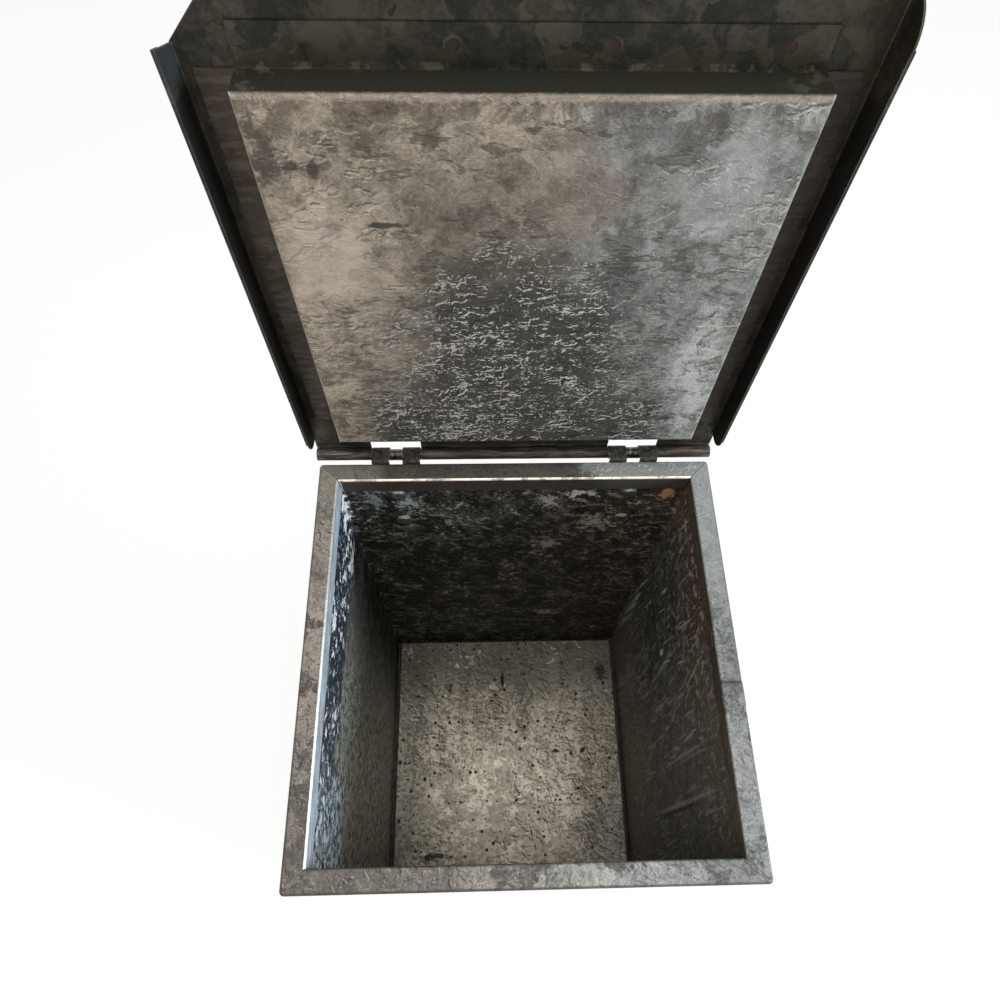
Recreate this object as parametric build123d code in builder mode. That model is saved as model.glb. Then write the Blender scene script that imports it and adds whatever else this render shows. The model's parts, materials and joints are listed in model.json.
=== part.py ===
"""Insulated porch box for milk bottles, of galvanized sheet steel, with its lid standing open.

The origin is the middle of the underside, +Z is up and the hinge is at the back (+Y).
The body is drawn in that frame. The lid is drawn shut in its own frame, which has its origin
on the hinge pin's axis, and that frame is tipped back by the opening angle.
"""
import os
from math import cos, radians, sin

from build123d import *

os.makedirs("parts", exist_ok=True)

# ---------------------------------------------------------------- driving dimensions, mm
# Body
body_size = 254.0  # outside of the shell, square in plan
inner_depth = 340.0  # from the rim down to the liner floor
rim_width = 12.7  # the flat rim round the mouth, as wide as the double wall is thick
lip_depth = 14.0  # the rim's edge, turned down inside the mouth
corner_radius = 2.5  # upright corners of the shell
sheet = 0.8  # shell, lid cover and lid pan
fold_radius = 1.6  # outside of a fold in that sheet
mitre_gap = 0.5  # open joint between two rim tabs
mitre_margin = 2.2  # closed part of the mitre at the outer corner
liner_sheet = 0.7
liner_clearance = 0.1  # liner behind the lip
liner_fold_radius = 1.5  # outside of the liner's upright corners
liner_lap = 10.0  # lapped edge of the liner wrap
lap_drop = 1.0  # top of that edge below the lip
floor_gap = 3.2  # all round the liner floor
floor_corner_cut = 1.4  # cut out of the floor tray's turned-down edges at each corner
floor_board_thickness = 12.0
board_clearance = 0.15  # on each face of an insulation board
base_sheet = 0.9
base_height = 14.0  # the bottom pan's turned-up side
base_clearance = 0.05
base_fold_radius = 1.5
seam_y = -28.0  # lap seam of the shell, on the right wall
seam_width = 14.0
seam_rise = 0.4
seam_groove = 0.3

# Hinge
pin_diameter = 6.35  # 1/4 in rod
pin_setback = 8.6  # pin's axis behind the back wall
pin_recess = 0.3  # pin's end inside the barrel's end
pin_chamfer = 0.5
barrel_clearance = 0.05  # radial, pin held by the lid's rolled edge
knuckle_clearance = 0.08  # radial, pin turning in the body's knuckles
barrel_opening = 50.0  # degrees left open where the lid's rolled edge ends
leaf_sheet = 1.0
leaf_width = 31.4
leaf_height = 68.0  # strap on the wall, below the rim
leaf_inset = 49.25  # strap's centre line inside the body's side, left and right
leaf_corner = 4.0
leaf_bend_radius = 2.0  # outside of the strap's bend over the wall
leaf_roll = 265.0  # degrees that a knuckle turns round the pin
finger_gap = 8.6  # opening between the two knuckles of a strap
finger_gap_depth = 3.0  # how far that opening runs below the rim
rivet_diameter = 4.0
rivet_clearance = 0.1
rivet_head_diameter = 11.4  # flat head, inside the box
rivet_head_height = 1.6
rivet_head_flat = 8.2  # flat of the head, inside its bevel
rivet_head_edge = 0.6  # height of the head's rim
rivet_tail_diameter = 7.6  # peened end, on the strap
rivet_tail_height = 1.3
rivet_top = 20.6  # upper rivet below the rim
rivet_pitch = 36.6

# Lid
open_angle = 92.0
lid_gap = 0.3  # shut lid above the rim
skirt_gap = 0.8  # between the skirts and the shell
skirt_depth = 16.0
skirt_rear_radius = 11.0
skirt_front_radius = 12.5
skirt_rear_inset = 8.4  # the skirt's rear end in front of the back wall
skirt_front_reach = 8.0  # its front end in front of the body
hem_depth = 6.0  # sheet folded back on itself along a free edge
hem_radius = 0.3
front_overhang = 14.0  # flat part of the cover in front of the body
front_lip = 11.0  # the lip beyond it, bent down
front_lip_angle = 45.0
front_lip_radius = 4.0
lip_relief = 1.5  # lip's end inside the skirt's fold
notch_clearance = 0.5  # between a strap and the lid's notch
notch_setback = 0.5  # notch's front edge in front of the back wall
trim_back = 11.6  # the lid's trimmed corner starts this far behind the body's front
trim_width = 17.0  # and runs in obliquely this far across the cover
trim_slant = 6.3  # the skirt's free edge runs on further forwards there
plug_depth = 18.0  # the inner pan's face below the cover
plug_clearance = 6.3  # inside the mouth, at the front and the sides
plug_clearance_back = 12.0  # inside the mouth, at the hinge
plug_fold_radius = 2.4
pan_tab = 15.0  # tabs by which the pan is welded to the cover
pan_tab_relief = 1.0  # cut off each tab at its ends
pan_corner_slit = 0.35
pan_corner_web = 3.0  # closed part of each pan corner, next to the face
weld_shares = (-0.81, -0.27, 0.26, 0.85)  # spot welds along the front tab, of half the plug's width
weld_diameter = 4.4
weld_dent = 0.2

# ---------------------------------------------------------------- sizes that follow
floor_underside = base_sheet + floor_board_thickness + 2 * board_clearance
floor_z = floor_underside + liner_sheet
rim_z = floor_z + inner_depth
half = body_size / 2
shell_inner = half - sheet
mouth = half - rim_width
lip_outer = mouth + sheet
liner_inner = lip_outer + liner_clearance
liner_outer = liner_inner + liner_sheet
board_thickness = shell_inner - liner_outer - 2 * board_clearance
floor_half = liner_inner - floor_gap

pin_radius = pin_diameter / 2
barrel_bore = pin_radius + barrel_clearance
barrel_outer = barrel_bore + sheet
knuckle_bore = pin_radius + knuckle_clearance
knuckle_outer = knuckle_bore + leaf_sheet
pin_y = half + pin_setback
leaf_x = half - leaf_inset
# Shut, the pan's tabs rest on the rim and the cover on the tabs, level with the barrel's top.
pin_z = rim_z + lid_gap + sheet + sheet - barrel_outer

cover_top = barrel_outer
cover_under = cover_top - sheet
cover_middle = cover_under + sheet / 2
cover_half = half + skirt_gap + sheet
skirt_middle = cover_half - sheet / 2
skirt_bottom = cover_under - skirt_depth
skirt_rear = -(pin_setback + skirt_rear_inset)
skirt_front = -(pin_setback + body_size + skirt_front_reach)
hem_half = cover_half + sheet
lid_front = -(body_size + pin_setback + front_overhang)
trim_x = trim_width - cover_half
trim_y = trim_back - body_size - pin_setback
plug_half = mouth - plug_clearance
plug_front = plug_clearance - mouth - pin_y
plug_back = mouth - plug_clearance_back - pin_y
plug_face = cover_under - plug_depth

# The lid's frame stands upright on the pin when the lid is shut, and is tipped back with the lid.
lid = Plane(Location((0, pin_y, pin_z), (-open_angle, 0, 0)))
lid_side = Plane(origin=lid.origin, x_dir=lid.y_dir, z_dir=lid.x_dir)
lid_end = Plane(origin=lid.origin, x_dir=lid.x_dir, z_dir=lid.y_dir * -1)

# ---------------------------------------------------------------- bottom pan
# A shallow pan turned up outside the foot of the shell.
base_inner = half + base_clearance
base_half = base_inner + base_sheet
with BuildPart() as base_pan:
    with BuildSketch():
        RectangleRounded(2 * base_half, 2 * base_half, corner_radius + base_clearance + base_sheet)
    extrude(amount=base_height)
    fillet(base_pan.faces().sort_by(Axis.Z)[0].edges(), base_fold_radius)
    with BuildSketch(Plane.XY.offset(base_sheet)):
        RectangleRounded(2 * base_inner, 2 * base_inner, corner_radius + base_clearance)
    extrude(amount=base_height, mode=Mode.SUBTRACT)
base_pan.part.label = "base_pan"

# ---------------------------------------------------------------- outer shell
# One wrap: four walls, a flat rim folded in at the top, and the rim's edge turned down as a lip.
# The rim's four tabs meet in open mitres, and the wrap is closed by a lap seam on the right.
rivet_spots = [
    (side * leaf_x, rim_z - rivet_top - row * rivet_pitch) for side in (-1, 1) for row in (0, 1)
]
strap_face = Plane.XZ.offset(-half - leaf_sheet)  # outer face of the straps; extrusions run forwards
rivet_hole_depth = leaf_sheet + rim_width
with BuildPart() as outer_shell:
    with BuildSketch(Plane.XY.offset(base_sheet)):
        RectangleRounded(body_size, body_size, corner_radius)
    extrude(amount=rim_z - base_sheet)
    fillet(outer_shell.faces().sort_by(Axis.Z)[-1].edges(), fold_radius)
    with BuildSketch(Plane.XY.offset(base_sheet)):
        RectangleRounded(2 * shell_inner, 2 * shell_inner, corner_radius - sheet)
    extrude(amount=rim_z - base_sheet - sheet, mode=Mode.SUBTRACT)
    # the lip
    with BuildSketch(Plane.XY.offset(rim_z)):
        Rectangle(2 * lip_outer, 2 * lip_outer)
    extrude(amount=-lip_depth)
    with BuildSketch(Plane.XY.offset(rim_z)):
        Rectangle(2 * mouth, 2 * mouth)
    extrude(amount=-lip_depth, mode=Mode.SUBTRACT)
    rim_face = outer_shell.faces().filter_by(GeomType.PLANE).sort_by(Axis.Z)[-1]
    fillet(rim_face.inner_wires()[0].edges(), fold_radius - sheet / 2)
    # lap seam: the outer layer stands proud of the wall, and its edge shows as a line over the rim
    with BuildSketch(Plane.YZ.offset(half)):
        with Locations((seam_y, (base_height + rim_z) / 2)):
            Rectangle(seam_width, rim_z - base_height - 2 * fold_radius)
    extrude(amount=seam_rise)
    with BuildSketch(Plane.XY.offset(rim_z)):
        with Locations((half - rim_width / 2, seam_y + seam_width / 2)):
            Rectangle(rim_width - 2 * fold_radius, seam_groove)
    extrude(amount=-sheet / 2, mode=Mode.SUBTRACT)
    # open mitres through the rim and the lip
    mitre_inner = mouth - lip_outer + mouth
    mitre_outer = half - mitre_margin
    with BuildSketch(Plane.XY.offset(rim_z)):
        for quarter in range(4):
            turned = Rotation(0, 0, 90 * quarter + 45)
            with Locations(turned * Location(((mitre_inner + mitre_outer) / 2**0.5, 0))):
                Rectangle((mitre_outer - mitre_inner) * 2**0.5, mitre_gap)
    extrude(amount=-lip_depth, mode=Mode.SUBTRACT)
    with BuildSketch(strap_face):
        with Locations(*rivet_spots):
            Circle(rivet_diameter / 2 + rivet_clearance)
    extrude(amount=leaf_sheet + 2 * sheet, mode=Mode.SUBTRACT)
outer_shell.part.label = "outer_shell"

# ---------------------------------------------------------------- liner
# The inner walls: one wrap that stands on the bottom pan, ends behind the lip and laps itself
# in the back right corner.
with BuildPart() as liner_wrap:
    with BuildSketch(Plane.XY.offset(base_sheet)):
        RectangleRounded(2 * liner_outer, 2 * liner_outer, liner_fold_radius)
        RectangleRounded(
            2 * liner_inner, 2 * liner_inner, liner_fold_radius - liner_sheet, mode=Mode.SUBTRACT
        )
    extrude(amount=rim_z - sheet - board_clearance - base_sheet)
    with BuildSketch(Plane.XY.offset(base_sheet)):
        with Locations((liner_inner - liner_sheet / 2, liner_inner - liner_fold_radius - liner_lap / 2)):
            Rectangle(liner_sheet, liner_lap)
    extrude(amount=rim_z - lip_depth - lap_drop - base_sheet)
    with BuildSketch(strap_face):
        with Locations(*rivet_spots):
            Circle(rivet_diameter / 2 + rivet_clearance)
    extrude(amount=rivet_hole_depth, mode=Mode.SUBTRACT)
liner_wrap.part.label = "liner_wrap"

# The floor tray stands on its own turned-down edges, clear of the walls all round.
with BuildPart() as liner_floor:
    with BuildSketch(Plane.XY.offset(base_sheet)):
        Rectangle(2 * floor_half, 2 * floor_half)
    extrude(amount=floor_z - base_sheet)
    fillet(liner_floor.faces().sort_by(Axis.Z)[-1].edges(), liner_fold_radius)
    with BuildSketch(Plane.XY.offset(base_sheet)):
        Rectangle(2 * (floor_half - liner_sheet), 2 * (floor_half - liner_sheet))
    extrude(amount=floor_underside - base_sheet, mode=Mode.SUBTRACT)
    with BuildSketch(Plane.XY.offset(base_sheet)):
        with GridLocations(2 * floor_half, 2 * floor_half, 2, 2):
            Rectangle(2 * floor_corner_cut, 2 * floor_corner_cut)
    extrude(amount=floor_z - base_sheet - 2 * liner_fold_radius, mode=Mode.SUBTRACT)
liner_floor.part.label = "liner_floor"

# ---------------------------------------------------------------- insulation boards
board_top = rim_z - sheet - 2 * board_clearance
board_middle = shell_inner - board_clearance - board_thickness / 2
long_board = 2 * (shell_inner - corner_radius)
short_board = 2 * (liner_outer - board_clearance)


def wall_board(name, x, y, width, depth):
    """A board that fills one side of the double wall, drilled where the hinge rivets pass."""
    with BuildPart() as board:
        with BuildSketch(Plane.XY.offset(base_sheet)):
            with Locations((x, y)):
                Rectangle(width, depth)
        extrude(amount=board_top - base_sheet)
        if y > 0:
            with BuildSketch(strap_face):
                with Locations(*rivet_spots):
                    Circle(rivet_diameter / 2 + rivet_clearance)
            extrude(amount=rivet_hole_depth, mode=Mode.SUBTRACT)
    board.part.label = name
    return board


insulation_front = wall_board("insulation_front", 0, -board_middle, long_board, board_thickness)
insulation_back = wall_board("insulation_back", 0, board_middle, long_board, board_thickness)
insulation_left = wall_board("insulation_left", -board_middle, 0, board_thickness, short_board)
insulation_right = wall_board("insulation_right", board_middle, 0, board_thickness, short_board)
with BuildPart() as insulation_floor:
    with BuildSketch(Plane.XY.offset(base_sheet + board_clearance)):
        floor_board = 2 * (floor_half - floor_corner_cut - board_clearance)
        Rectangle(floor_board, floor_board)
    extrude(amount=floor_board_thickness)
insulation_floor.part.label = "insulation_floor"

# ---------------------------------------------------------------- hinge straps
# A strap lies on the back wall, bends back over the rim and is rolled round the pin as two
# knuckles, with an opening between them.
knuckle_middle = knuckle_bore + leaf_sheet / 2
leaf_bend = leaf_bend_radius - leaf_sheet / 2
strap_y = half + leaf_sheet / 2
arm_z = pin_z + knuckle_middle
roll_angle = radians(90 - leaf_roll)
roll_end = (pin_y + knuckle_middle * cos(roll_angle), pin_z + knuckle_middle * sin(roll_angle))


def hinge_leaf(name, x):
    """One strap, centred on x."""
    with BuildPart() as leaf:
        with BuildSketch(Plane.YZ.offset(x - leaf_width / 2)):
            with BuildLine():
                Line((strap_y, rim_z - leaf_height), (strap_y, arm_z - leaf_bend))
                TangentArc((strap_y, arm_z - leaf_bend), (strap_y + leaf_bend, arm_z), tangent=(0, 1))
                Line((strap_y + leaf_bend, arm_z), (pin_y, arm_z))
                TangentArc((pin_y, arm_z), roll_end, tangent=(1, 0))
            trace(line_width=leaf_sheet)
        extrude(amount=leaf_width)
        with BuildSketch(Plane.XY.offset(rim_z - finger_gap_depth)):
            with Locations((x, pin_y)):
                Rectangle(finger_gap, 4 * pin_setback)
        extrude(amount=finger_gap_depth + 4 * knuckle_outer, mode=Mode.SUBTRACT)
        fillet(leaf.edges().filter_by(Axis.Y).group_by(Axis.Z)[0], leaf_corner)
        with BuildSketch(strap_face):
            with Locations(*[spot for spot in rivet_spots if abs(spot[0] - x) < leaf_width]):
                Circle(rivet_diameter / 2 + rivet_clearance)
        extrude(amount=leaf_sheet, mode=Mode.SUBTRACT)
    leaf.part.label = name
    return leaf


hinge_leaf_left = hinge_leaf("hinge_leaf_left", -leaf_x)
hinge_leaf_right = hinge_leaf("hinge_leaf_right", leaf_x)

# ---------------------------------------------------------------- rivets
# Long rivets through strap, shell, board and liner. The flat head is inside the box.
tail_y = half + leaf_sheet
head_y = liner_inner - rivet_head_height
with BuildPart() as hinge_rivets:
    for rivet_x, rivet_z in rivet_spots:
        with BuildSketch(Plane.YZ.offset(rivet_x)):
            with BuildLine():
                Polyline(
                    (tail_y + rivet_tail_height, rivet_z),
                    (head_y, rivet_z),
                    (head_y, rivet_z + rivet_head_flat / 2),
                    (liner_inner - rivet_head_edge, rivet_z + rivet_head_diameter / 2),
                    (liner_inner, rivet_z + rivet_head_diameter / 2),
                    (liner_inner, rivet_z + rivet_diameter / 2),
                    (tail_y, rivet_z + rivet_diameter / 2),
                    (tail_y, rivet_z + rivet_tail_diameter / 2),
                )
                TangentArc(
                    (tail_y + rivet_tail_height, rivet_z),
                    (tail_y, rivet_z + rivet_tail_diameter / 2),
                    tangent=(0, 1),
                )
            make_face()
        revolve(axis=Axis((rivet_x, 0, rivet_z), (0, 1, 0)))
hinge_rivets.part.label = "hinge_rivets"

# ---------------------------------------------------------------- hinge pin
# One rod from end to end of the lid's barrel.
with BuildPart() as hinge_pin:
    with BuildSketch(lid_side.offset(pin_recess - hem_half)):
        Circle(pin_radius)
    extrude(amount=2 * (hem_half - pin_recess))
    chamfer(hinge_pin.edges().filter_by(GeomType.CIRCLE), pin_chamfer)
hinge_pin.part.label = "hinge_pin"

# ---------------------------------------------------------------- lid cover
# One sheet: side skirts folded down, a bent lip along the front, and the back edge rolled under
# as the hinge barrel, with two notches that let the body's knuckles through.
lip_half = cover_half - fold_radius - lip_relief
lip_angle = radians(front_lip_angle)
lip_bend = front_lip_radius - sheet / 2
lip_start = (lid_front - lip_bend * sin(lip_angle), cover_middle - lip_bend * (1 - cos(lip_angle)))
lip_end = (lip_start[0] - front_lip * cos(lip_angle), lip_start[1] - front_lip * sin(lip_angle))
hem_start = (lip_end[0] + sheet * sin(lip_angle), lip_end[1] - sheet * cos(lip_angle))
hem_end = (hem_start[0] + hem_depth * cos(lip_angle), hem_start[1] + hem_depth * sin(lip_angle))
barrel_end = radians(90 + barrel_opening)
with BuildPart() as lid_cover:
    # the flat sheet and its skirts, a channel open underneath
    with BuildSketch(lid_end.offset(-skirt_rear)):
        with BuildLine():
            FilletPolyline(
                (-skirt_middle, skirt_bottom),
                (-skirt_middle, cover_middle),
                (skirt_middle, cover_middle),
                (skirt_middle, skirt_bottom),
                radius=fold_radius - sheet / 2,
            )
        trace(line_width=sheet)
    extrude(amount=skirt_rear - skirt_front)
    # rounded ends of the skirts
    with BuildSketch(lid_side.offset(-hem_half)):
        for end_y, inset, radius in (
            (skirt_front, skirt_front_radius, skirt_front_radius),
            (skirt_rear, -skirt_rear_radius, skirt_rear_radius),
        ):
            with Locations((end_y, skirt_bottom)):
                Rectangle(2 * radius, 2 * radius)
            with Locations((end_y + inset, skirt_bottom + radius)):
                Circle(radius, mode=Mode.SUBTRACT)
    extrude(amount=2 * hem_half, mode=Mode.SUBTRACT)
    # hems: the skirts' straight edges folded outwards and up
    with BuildSketch(lid_end.offset(skirt_rear_radius - skirt_rear)):
        for side in (-1, 1):
            with Locations((side * (cover_half + sheet / 2), skirt_bottom + hem_depth / 2)):
                Rectangle(sheet, hem_depth)
        columns = vertices().group_by(Axis.X)
        fillet(columns[0] + columns[-1], hem_radius)
    extrude(amount=skirt_rear - skirt_front - skirt_rear_radius - skirt_front_radius)
    # the front edge in front of the skirts, and the lip with its own hem folded under
    with BuildSketch(lid_side.offset(-lip_half)):
        with BuildLine():
            Line((skirt_front, cover_middle), (lid_front, cover_middle))
            TangentArc((lid_front, cover_middle), lip_start, tangent=(-1, 0))
            Line(lip_start, lip_end)
        trace(line_width=sheet)
        with BuildLine():
            Line(hem_start, hem_end)
        trace(line_width=sheet)
    extrude(amount=2 * lip_half)
    # the back edge, flat behind the skirts and then rolled round the pin
    with BuildSketch(lid_side.offset(-hem_half)):
        Circle(barrel_outer)
        Circle(barrel_bore, mode=Mode.SUBTRACT)
        with BuildLine():
            reach = 2 * barrel_outer
            Polyline(
                (0, 0),
                (0, reach),
                (-reach, reach),
                (reach * cos(barrel_end), reach * sin(barrel_end)),
                close=True,
            )
        make_face(mode=Mode.SUBTRACT)
        with Locations((skirt_rear / 2, cover_middle)):
            Rectangle(-skirt_rear, sheet)
    extrude(amount=2 * hem_half)
    with BuildSketch(lid.offset(-barrel_outer)):
        with Locations((-leaf_x, 0), (leaf_x, 0)):
            Rectangle(leaf_width + 2 * notch_clearance, 2 * (pin_setback + notch_setback))
    extrude(amount=2 * barrel_outer, mode=Mode.SUBTRACT)
    # the front left corner, trimmed obliquely across the cover and on a slant down the skirt
    with BuildSketch(lid.offset(cover_under)):
        with BuildLine():
            Polyline(
                (-hem_half, trim_y),
                (-cover_half, trim_y),
                (trim_x, trim_y - trim_width),
                (trim_x, 2 * lid_front),
                (-hem_half, 2 * lid_front),
                close=True,
            )
        make_face()
    extrude(amount=sheet, mode=Mode.SUBTRACT)
    with BuildSketch(lid_side.offset(-hem_half)):
        with BuildLine():
            Polyline(
                (trim_y, cover_under),
                (trim_y - trim_slant, skirt_bottom),
                (2 * lid_front, skirt_bottom),
                (2 * lid_front, cover_under),
                close=True,
            )
        make_face()
    extrude(amount=hem_half + trim_x, mode=Mode.SUBTRACT)
lid_cover.part.label = "lid_cover"

# ---------------------------------------------------------------- lid pan
# The raised plug under the cover, folded from one sheet: the corners of its walls stay open slits,
# and a tab along each side lies flat against the cover. The front tab shows its spot welds.
plug_length = plug_back - plug_front
plug_middle = (plug_back + plug_front) / 2
tab_z = cover_under - sheet
with BuildPart() as lid_pan:
    with BuildSketch(lid.offset(plug_face)):
        with Locations((0, plug_middle)):
            Rectangle(2 * plug_half, plug_length)
    extrude(amount=plug_depth)
    fillet(lid_pan.faces().sort_by(Axis(lid.origin, lid.z_dir))[0].edges(), plug_fold_radius)
    with BuildSketch(lid.offset(tab_z)):
        with Locations((0, plug_middle)):
            Rectangle(2 * (plug_half + pan_tab), plug_length - 2 * pan_tab_relief)
            Rectangle(2 * (plug_half - pan_tab_relief), plug_length + 2 * pan_tab)
    extrude(amount=sheet)
    with BuildSketch(lid.offset(plug_face + sheet)):
        with Locations((0, plug_middle)):
            Rectangle(2 * (plug_half - sheet), plug_length - 2 * sheet)
    extrude(amount=plug_depth, mode=Mode.SUBTRACT)
    with BuildSketch(lid.offset(plug_face + pan_corner_web)):
        for along in (-1, 1):
            for side in (-1, 1):
                spot = (side * (plug_half - sheet / 2), plug_middle + along * (plug_length - sheet) / 2)
                with Locations(Location(spot) * Rotation(0, 0, 45 * side * along)):
                    Rectangle(4 * sheet, pan_corner_slit)
    extrude(amount=plug_depth, mode=Mode.SUBTRACT)
    with BuildSketch(lid.offset(tab_z)):
        with Locations(*[(share * plug_half, plug_front - pan_tab / 2) for share in weld_shares]):
            Circle(weld_diameter / 2)
    extrude(amount=weld_dent, mode=Mode.SUBTRACT)
lid_pan.part.label = "lid_pan"

with BuildPart() as lid_insulation:
    with BuildSketch(lid.offset(plug_face + sheet + board_clearance)):
        with Locations((0, plug_middle)):
            inset = 2 * (sheet + board_clearance)
            Rectangle(2 * plug_half - inset, plug_length - inset)
    extrude(amount=plug_depth - sheet - 2 * board_clearance)
lid_insulation.part.label = "lid_insulation"

# ---------------------------------------------------------------- export
for piece in (
    base_pan,
    outer_shell,
    liner_wrap,
    liner_floor,
    insulation_front,
    insulation_back,
    insulation_left,
    insulation_right,
    insulation_floor,
    hinge_leaf_left,
    hinge_leaf_right,
    hinge_rivets,
    hinge_pin,
    lid_cover,
    lid_pan,
    lid_insulation,
):
    export_step(piece.part, f"parts/{piece.part.label}.step")
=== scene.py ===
"""Insulated porch box for milk bottles, in galvanized sheet steel: finishes, light and camera."""
import json
from math import radians

import bpy
from mathutils import Matrix, Vector

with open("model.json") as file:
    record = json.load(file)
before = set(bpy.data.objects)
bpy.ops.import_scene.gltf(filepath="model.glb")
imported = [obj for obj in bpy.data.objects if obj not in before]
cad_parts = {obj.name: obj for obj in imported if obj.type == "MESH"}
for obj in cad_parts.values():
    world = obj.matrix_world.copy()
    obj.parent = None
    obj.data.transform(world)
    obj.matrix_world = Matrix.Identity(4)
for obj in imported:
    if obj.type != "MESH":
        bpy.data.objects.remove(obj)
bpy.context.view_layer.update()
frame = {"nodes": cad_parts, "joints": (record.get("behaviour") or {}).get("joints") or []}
nodes = frame["nodes"]

# ---------------------------------------------------------------- outer shell and bottom pan
# Galvanized sheet steel, folded into four walls and a flat mitred rim, with a shallow pan round
# the foot. The zinc has dulled to a soft spangle, browner on the left and cooler on the right,
# partly its own tone and partly a painted reflection of a warm left and a cool right, and it is
# rubbed bright along the folds.


def add(tree, kind, values=None, **settings):
    """One shader node. Each value is a number, a colour, a vector or another node's output."""
    node = tree.nodes.new("ShaderNode" + kind)
    for name, setting in settings.items():
        setattr(node, name, setting)
    for key, value in (values or {}).items():
        if isinstance(value, bpy.types.NodeSocket):
            tree.links.new(value, node.inputs[key])
        else:
            node.inputs[key].default_value = value
    return node


def calculate(tree, operation, first, second=0.0, clamp=False):
    values = {0: first, 1: second}
    return add(tree, "Math", values, operation=operation, use_clamp=clamp).outputs[0]


def ramp(tree, value, low, high, start=0.0, end=1.0):
    """A smooth step from start to end while the value goes from low to high."""
    values = {"Value": value, "From Min": low, "From Max": high, "To Min": start, "To Max": end}
    return add(tree, "MapRange", values, interpolation_type="SMOOTHSTEP").outputs[0]


def noise(tree, vector, scale, detail=3.0, roughness=0.55, distortion=0.0):
    values = {"Vector": vector, "Scale": scale, "Detail": detail, "Roughness": roughness}
    values["Distortion"] = distortion
    return add(tree, "TexNoise", values).outputs[0]


def grit(tree, vector, scale, detail=4.0, roughness=0.65, distortion=0.0):
    """Noise drawn out to run all the way from zero to one."""
    return ramp(tree, noise(tree, vector, scale, detail, roughness, distortion), 0.36, 0.64)


def tint(tree, factor, first, second):
    """The first colour, with the second laid over it by the factor."""
    return add(tree, "Mix", {0: factor, 6: first, 7: second}, data_type="RGBA").outputs[2]


def product(tree, first, *others):
    for other in others:
        first = calculate(tree, "MULTIPLY", first, other)
    return first


def weigh(tree, *pairs):
    """The sum of the values, each times its weight."""
    total = 0.0
    for value, weight in pairs:
        values = {0: value, 1: weight, 2: total}
        total = add(tree, "Math", values, operation="MULTIPLY_ADD").outputs[0]
    return total


def band(tree, value, low, high, soft):
    """One from low to high, with edges as soft as given."""
    rise = ramp(tree, value, low - soft, low + soft)
    return product(tree, rise, ramp(tree, value, high - soft, high + soft, 1.0, 0.0))


def lay(tree, colour, *coats):
    """The colour under coats. Each coat is one or more masks, then its strength and its colour."""
    for *masks, strength, coat in coats:
        colour = tint(tree, product(tree, *masks, strength), colour, (*coat, 1.0))
    return colour


def move(tree, vector, by, operation="ADD"):
    return add(tree, "VectorMath", {0: vector, 1: by}, operation=operation).outputs[0]


def enlarge(tree, vector, factor):
    return add(tree, "VectorMath", {0: vector, "Scale": factor}, operation="SCALE").outputs[0]


def stretch(tree, vector, scale, turn=(0.0, 0.0, 0.0)):
    """Turned coordinates, drawn out along the axes whose scale is small."""
    turned = add(tree, "Mapping", {"Vector": vector, "Rotation": turn}).outputs[0]
    return add(tree, "Mapping", {"Vector": turned, "Scale": scale}).outputs[0]


def new_group(name, inputs, outputs):
    """An empty shader node group with its sockets, and its input and output nodes."""
    tree = bpy.data.node_groups.new(name, "ShaderNodeTree")
    for label, value in inputs.items():
        kind = "NodeSocketVector" if isinstance(value, tuple) else "NodeSocketFloat"
        socket = tree.interface.new_socket(name=label, in_out="INPUT", socket_type=kind)
        socket.default_value = value
    for label in outputs:
        tree.interface.new_socket(name=label, in_out="OUTPUT", socket_type="NodeSocketFloat")
    given = tree.nodes.new("NodeGroupInput").outputs
    return tree, given, tree.nodes.new("NodeGroupOutput")


def give(tree, made, **results):
    """Sends the results out of a group, each through the socket of its name."""
    for label, value in results.items():
        tree.links.new(value, made.inputs[label])


def use(tree, group, values):
    return add(tree, "Group", values, node_tree=group).outputs


def new_material(name):
    """A material with its tree, its Principled shader and its Object coordinates."""
    material = bpy.data.materials.new(name)
    material.use_nodes = True
    tree = material.node_tree
    shader = tree.nodes["Principled BSDF"]
    return material, tree, shader, tree.nodes.new("ShaderNodeTexCoord").outputs["Object"]


def polish(tree, tone, rough, smooth):
    """A roughness that falls from rough to smooth as the tone rises."""
    return ramp(tree, tone, 0.2, 0.8, rough, smooth)


def finish(tree, shader, colour, roughness, height, depth, metal=0.0):
    """Wires the colour, the roughness and a bump as deep as depth, in metres, into the shader."""
    shader.inputs["Metallic"].default_value = metal
    tree.links.new(colour, shader.inputs["Base Color"])
    tree.links.new(roughness, shader.inputs["Roughness"])
    bump = add(tree, "Bump", {"Height": height, "Distance": depth, "Strength": 1.0})
    tree.links.new(bump.outputs[0], shader.inputs["Normal"])


def dress(material, *names):
    for name in names:
        nodes[name].data.materials.clear()
        nodes[name].data.materials.append(material)


# Zinc crystals: each has its own tone, feathery frost that runs its own way, and a thin border.
origin = (0.0, 0.0, 0.0)
full_turn = 6.28
spangle, given, made = new_group(
    "zinc_spangle",
    {"Vector": origin, "Size": 0.01, "Ragged": 0.6, "Seed": 0.0},
    ("Tone", "Frost", "Border"),
)
place = enlarge(spangle, given["Vector"], calculate(spangle, "DIVIDE", 1.0, given["Size"]))
shifted = move(spangle, place, given["Seed"])
coarse = add(spangle, "TexNoise", {"Vector": shifted, "Scale": 1.1, "Detail": 4.0}).outputs[1]
centred = move(spangle, coarse, (0.5, 0.5, 0.5), "SUBTRACT")
wander = enlarge(spangle, enlarge(spangle, centred, given["Ragged"]), 3.2)
cells = {"Vector": move(spangle, shifted, wander), "Scale": 1.0}
crystal = add(spangle, "TexVoronoi", cells).outputs["Color"]
border = add(spangle, "TexVoronoi", cells, feature="DISTANCE_TO_EDGE").outputs["Distance"]
own_way = {"Vector": place, "Rotation": enlarge(spangle, crystal, full_turn)}
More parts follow.
